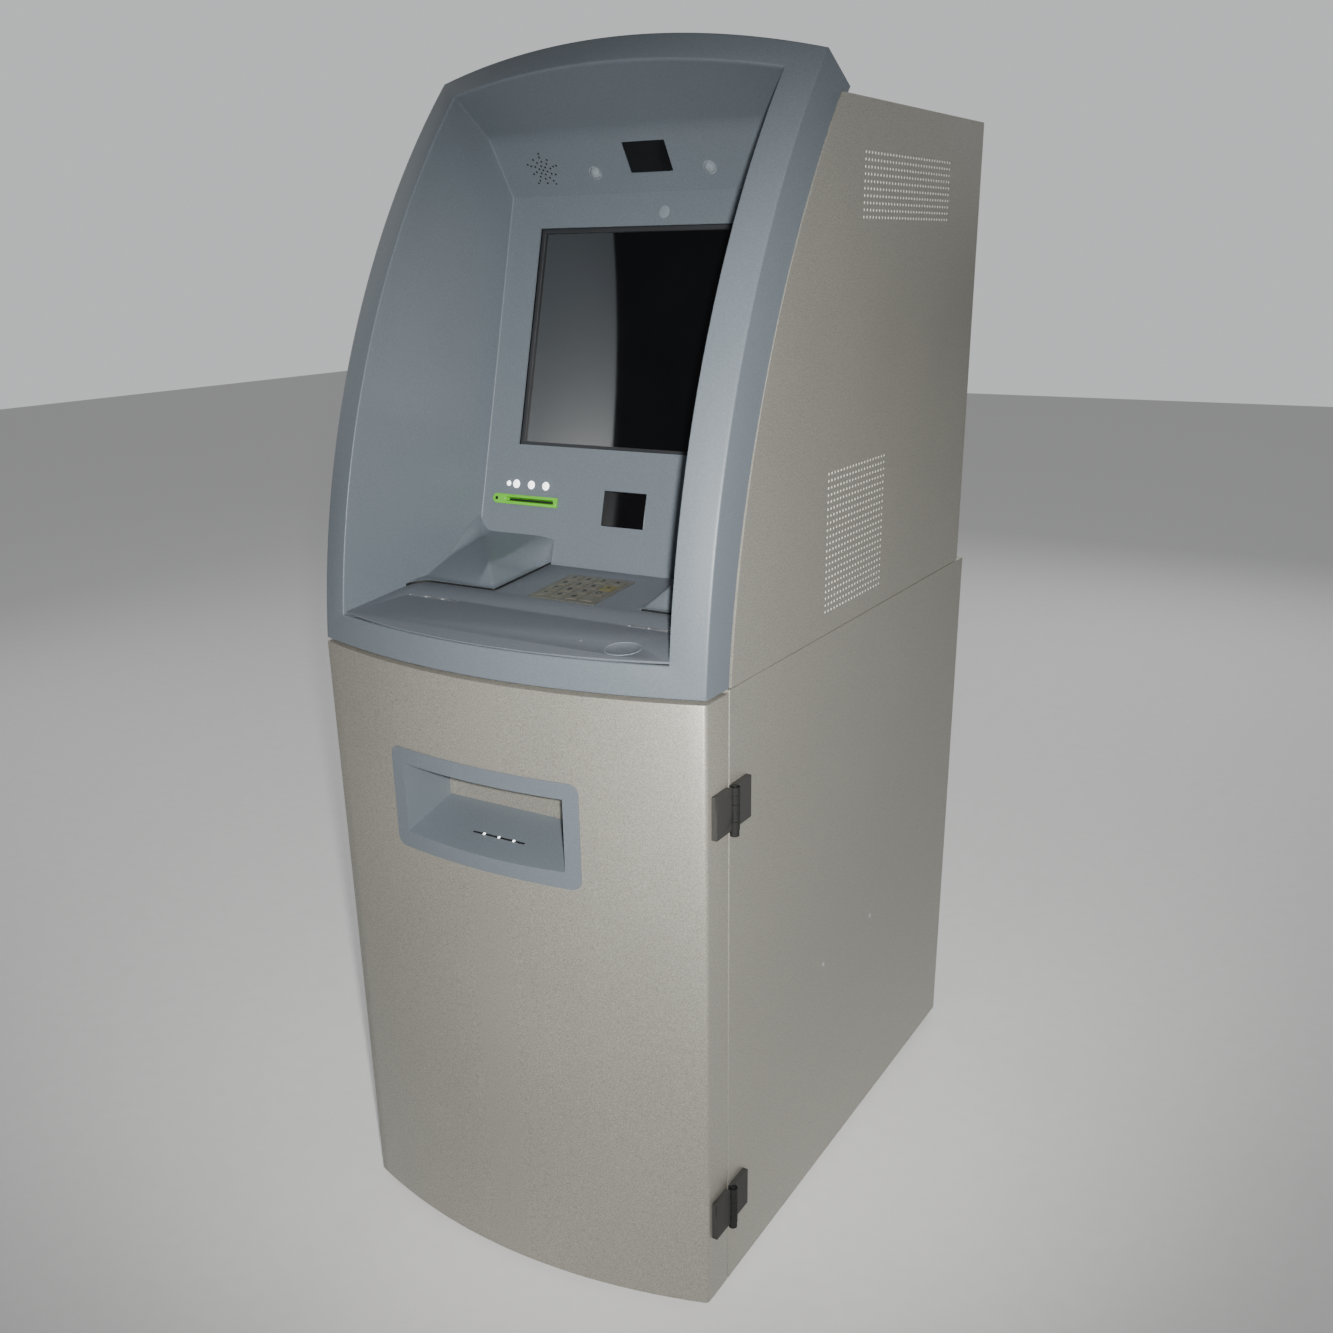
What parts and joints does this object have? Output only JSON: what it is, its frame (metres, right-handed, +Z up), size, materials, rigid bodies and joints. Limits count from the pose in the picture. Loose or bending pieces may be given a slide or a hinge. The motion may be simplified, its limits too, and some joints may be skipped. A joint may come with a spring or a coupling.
{
  "type": "atm machine",
  "caption": "Free-standing lobby cash machine with a bowed door, a leaning user niche holding screen, keypad and card entry, and a note recess in the door.",
  "frame": {"origin": "bottom centre of the whole machine's box, on the floor", "axes": "+Z up, the user stands on the -Y side, the door hinges are on the +X side"},
  "size_m": [0.618, 0.9534, 1.6422],
  "materials": {
    "silver_paint": "fine-speckle powder coat, warm silver grey",
    "fascia_paint": "satin, blue grey",
    "shelf_paint": "satin, dark grey",
    "black_steel": "satin, black",
    "bare_steel": "satin",
    "dark_plastic": "matte",
    "dark_glass": "gloss, black behind",
    "green_plastic": "gloss, bright green",
    "keypad_metal": "satin, bronze tinted",
    "cassette_plastic": "matte, dark grey",
    "foot_steel": "satin, black",
    "paper": "matte, white paper roll"
  },
  "bodies": {
    "cabinet": {"lower_cabinet": "silver_paint", "power_inlet": "dark_plastic", "levelling_foot_1": "foot_steel", "levelling_foot_2": "foot_steel", "levelling_foot_3": "foot_steel", "levelling_foot_4": "foot_steel", "dispenser_rack": "bare_steel", "note_presenter": "dark_plastic", "upper_cabinet": "silver_paint", "fascia_frame": "fascia_paint", "niche_liner": "fascia_paint", "screen_panel": "fascia_paint", "screen_glass": "dark_glass", "monitor": "dark_plastic", "card_bezel": "green_plastic", "card_reader": "dark_plastic", "scanner_window": "dark_glass", "sensor_panel": "fascia_paint", "camera_window": "dark_glass", "speaker": "dark_plastic", "shelf": "shelf_paint", "keypad_frame": "keypad_metal", "control_computer": "dark_plastic", "receipt_printer": "dark_plastic", "fan_housing": "dark_plastic", "upper_hinge_cabinet_leaf": "black_steel", "upper_hinge_pin": "black_steel", "lower_hinge_cabinet_leaf": "black_steel", "lower_hinge_pin": "black_steel"},
    "door": {"front_door": "silver_paint", "dispenser_bezel": "fascia_paint", "lock_case": "bare_steel", "upper_hinge_door_leaf": "black_steel", "lower_hinge_door_leaf": "black_steel"},
    "shutter": {"dispenser_shutter": "silver_paint"},
    "bolt": {"lock_bolt": "bare_steel"},
    "cassette_1": {"cash_cassette_1": "cassette_plastic"},
    "cassette_2": {"cash_cassette_2": "cassette_plastic"},
    "cassette_3": {"cash_cassette_3": "cassette_plastic"},
    "reject": {"reject_bin": "cassette_plastic"},
    "rear_door": {"rear_service_door": "silver_paint"},
    "rear_cam": {"rear_lock_cam": "bare_steel"},
    "roll": {"paper_roll": "paper"},
    "rotor": {"fan_rotor": "dark_plastic"},
    "key_1_1": {"key_1_1": "keypad_metal"},
    "key_1_2": {"key_1_2": "keypad_metal"},
    "key_1_3": {"key_1_3": "keypad_metal"},
    "key_1_4": {"key_1_4": "keypad_metal"},
    "key_2_1": {"key_2_1": "keypad_metal"},
    "key_2_2": {"key_2_2": "keypad_metal"},
    "key_2_3": {"key_2_3": "keypad_metal"},
    "key_2_4": {"key_2_4": "keypad_metal"},
    "key_3_1": {"key_3_1": "keypad_metal"},
    "key_3_2": {"key_3_2": "keypad_metal"},
    "key_3_3": {"key_3_3": "keypad_metal"},
    "key_3_4": {"key_3_4": "keypad_metal"},
    "key_4_1": {"key_4_1": "keypad_metal"},
    "key_4_2": {"key_4_2": "keypad_metal"},
    "key_4_3": {"key_4_3": "keypad_metal"},
    "key_4_4": {"key_4_4": "keypad_metal"}
  },
  "joints": [
    {"name": "front_door_hinge", "type": "hinge", "parent": "cabinet", "child": "door", "pos_m": [0.3025, -0.36775, 0], "axis": [0, 0, 1], "range_deg": [0, 110]},
    {"name": "shutter_slide", "type": "slide", "parent": "door", "child": "shutter", "axis": [0, 0, 1], "range_m": [0, 0.085]},
    {"name": "lock_bolt_slide", "type": "slide", "parent": "door", "child": "bolt", "axis": [-1, 0, 0], "range_m": [0, 0.012]},
    {"name": "cassette_1_slide", "type": "slide", "parent": "cabinet", "child": "cassette_1", "axis": [0, -1, 0], "range_m": [0, 0.15]},
    {"name": "cassette_2_slide", "type": "slide", "parent": "cabinet", "child": "cassette_2", "axis": [0, -1, 0], "range_m": [0, 0.15]},
    {"name": "cassette_3_slide", "type": "slide", "parent": "cabinet", "child": "cassette_3", "axis": [0, -1, 0], "range_m": [0, 0.15]},
    {"name": "reject_bin_slide", "type": "slide", "parent": "cabinet", "child": "reject", "axis": [0, -1, 0], "range_m": [0, 0.15]},
    {"name": "rear_door_hinge", "type": "hinge", "parent": "cabinet", "child": "rear_door", "pos_m": [-0.253, 0.46275, 0], "axis": [0, 0, 1], "range_deg": [0, 110]},
    {"name": "rear_lock_turn", "type": "hinge", "parent": "rear_door", "child": "rear_cam", "pos_m": [0.209, 0.44675, 1.215], "axis": [0, -1, 0], "range_deg": [0, 90]},
    {"name": "paper_roll_turn", "type": "hinge", "parent": "cabinet", "child": "roll", "pos_m": [-0.186, 0.21675, 1.012], "axis": [1, 0, 0], "continuous": true},
    {"name": "fan_turn", "type": "hinge", "parent": "cabinet", "child": "rotor", "pos_m": [0.278, 0.00175, 1.032], "axis": [1, 0, 0], "continuous": true},
    {"name": "key_1_1_press", "type": "slide", "parent": "cabinet", "child": "key_1_1", "axis": [0, 0.0767, -0.9971], "range_m": [0, 0.002], "stiffness_N_per_m": 400, "springref_m": -0.002},
    {"name": "key_1_2_press", "type": "slide", "parent": "cabinet", "child": "key_1_2", "axis": [0, 0.0767, -0.9971], "range_m": [0, 0.002], "stiffness_N_per_m": 400, "springref_m": -0.002},
    {"name": "key_1_3_press", "type": "slide", "parent": "cabinet", "child": "key_1_3", "axis": [0, 0.0767, -0.9971], "range_m": [0, 0.002], "stiffness_N_per_m": 400, "springref_m": -0.002},
    {"name": "key_1_4_press", "type": "slide", "parent": "cabinet", "child": "key_1_4", "axis": [0, 0.0767, -0.9971], "range_m": [0, 0.002], "stiffness_N_per_m": 400, "springref_m": -0.002},
    {"name": "key_2_1_press", "type": "slide", "parent": "cabinet", "child": "key_2_1", "axis": [0, 0.0767, -0.9971], "range_m": [0, 0.002], "stiffness_N_per_m": 400, "springref_m": -0.002},
    {"name": "key_2_2_press", "type": "slide", "parent": "cabinet", "child": "key_2_2", "axis": [0, 0.0767, -0.9971], "range_m": [0, 0.002], "stiffness_N_per_m": 400, "springref_m": -0.002},
    {"name": "key_2_3_press", "type": "slide", "parent": "cabinet", "child": "key_2_3", "axis": [0, 0.0767, -0.9971], "range_m": [0, 0.002], "stiffness_N_per_m": 400, "springref_m": -0.002},
    {"name": "key_2_4_press", "type": "slide", "parent": "cabinet", "child": "key_2_4", "axis": [0, 0.0767, -0.9971], "range_m": [0, 0.002], "stiffness_N_per_m": 400, "springref_m": -0.002},
    {"name": "key_3_1_press", "type": "slide", "parent": "cabinet", "child": "key_3_1", "axis": [0, 0.0767, -0.9971], "range_m": [0, 0.002], "stiffness_N_per_m": 400, "springref_m": -0.002},
    {"name": "key_3_2_press", "type": "slide", "parent": "cabinet", "child": "key_3_2", "axis": [0, 0.0767, -0.9971], "range_m": [0, 0.002], "stiffness_N_per_m": 400, "springref_m": -0.002},
    {"name": "key_3_3_press", "type": "slide", "parent": "cabinet", "child": "key_3_3", "axis": [0, 0.0767, -0.9971], "range_m": [0, 0.002], "stiffness_N_per_m": 400, "springref_m": -0.002},
    {"name": "key_3_4_press", "type": "slide", "parent": "cabinet", "child": "key_3_4", "axis": [0, 0.0767, -0.9971], "range_m": [0, 0.002], "stiffness_N_per_m": 400, "springref_m": -0.002},
    {"name": "key_4_1_press", "type": "slide", "parent": "cabinet", "child": "key_4_1", "axis": [0, 0.0767, -0.9971], "range_m": [0, 0.002], "stiffness_N_per_m": 400, "springref_m": -0.002},
    {"name": "key_4_2_press", "type": "slide", "parent": "cabinet", "child": "key_4_2", "axis": [0, 0.0767, -0.9971], "range_m": [0, 0.002], "stiffness_N_per_m": 400, "springref_m": -0.002},
    {"name": "key_4_3_press", "type": "slide", "parent": "cabinet", "child": "key_4_3", "axis": [0, 0.0767, -0.9971], "range_m": [0, 0.002], "stiffness_N_per_m": 400, "springref_m": -0.002},
    {"name": "key_4_4_press", "type": "slide", "parent": "cabinet", "child": "key_4_4", "axis": [0, 0.0767, -0.9971], "range_m": [0, 0.002], "stiffness_N_per_m": 400, "springref_m": -0.002}
  ]
}
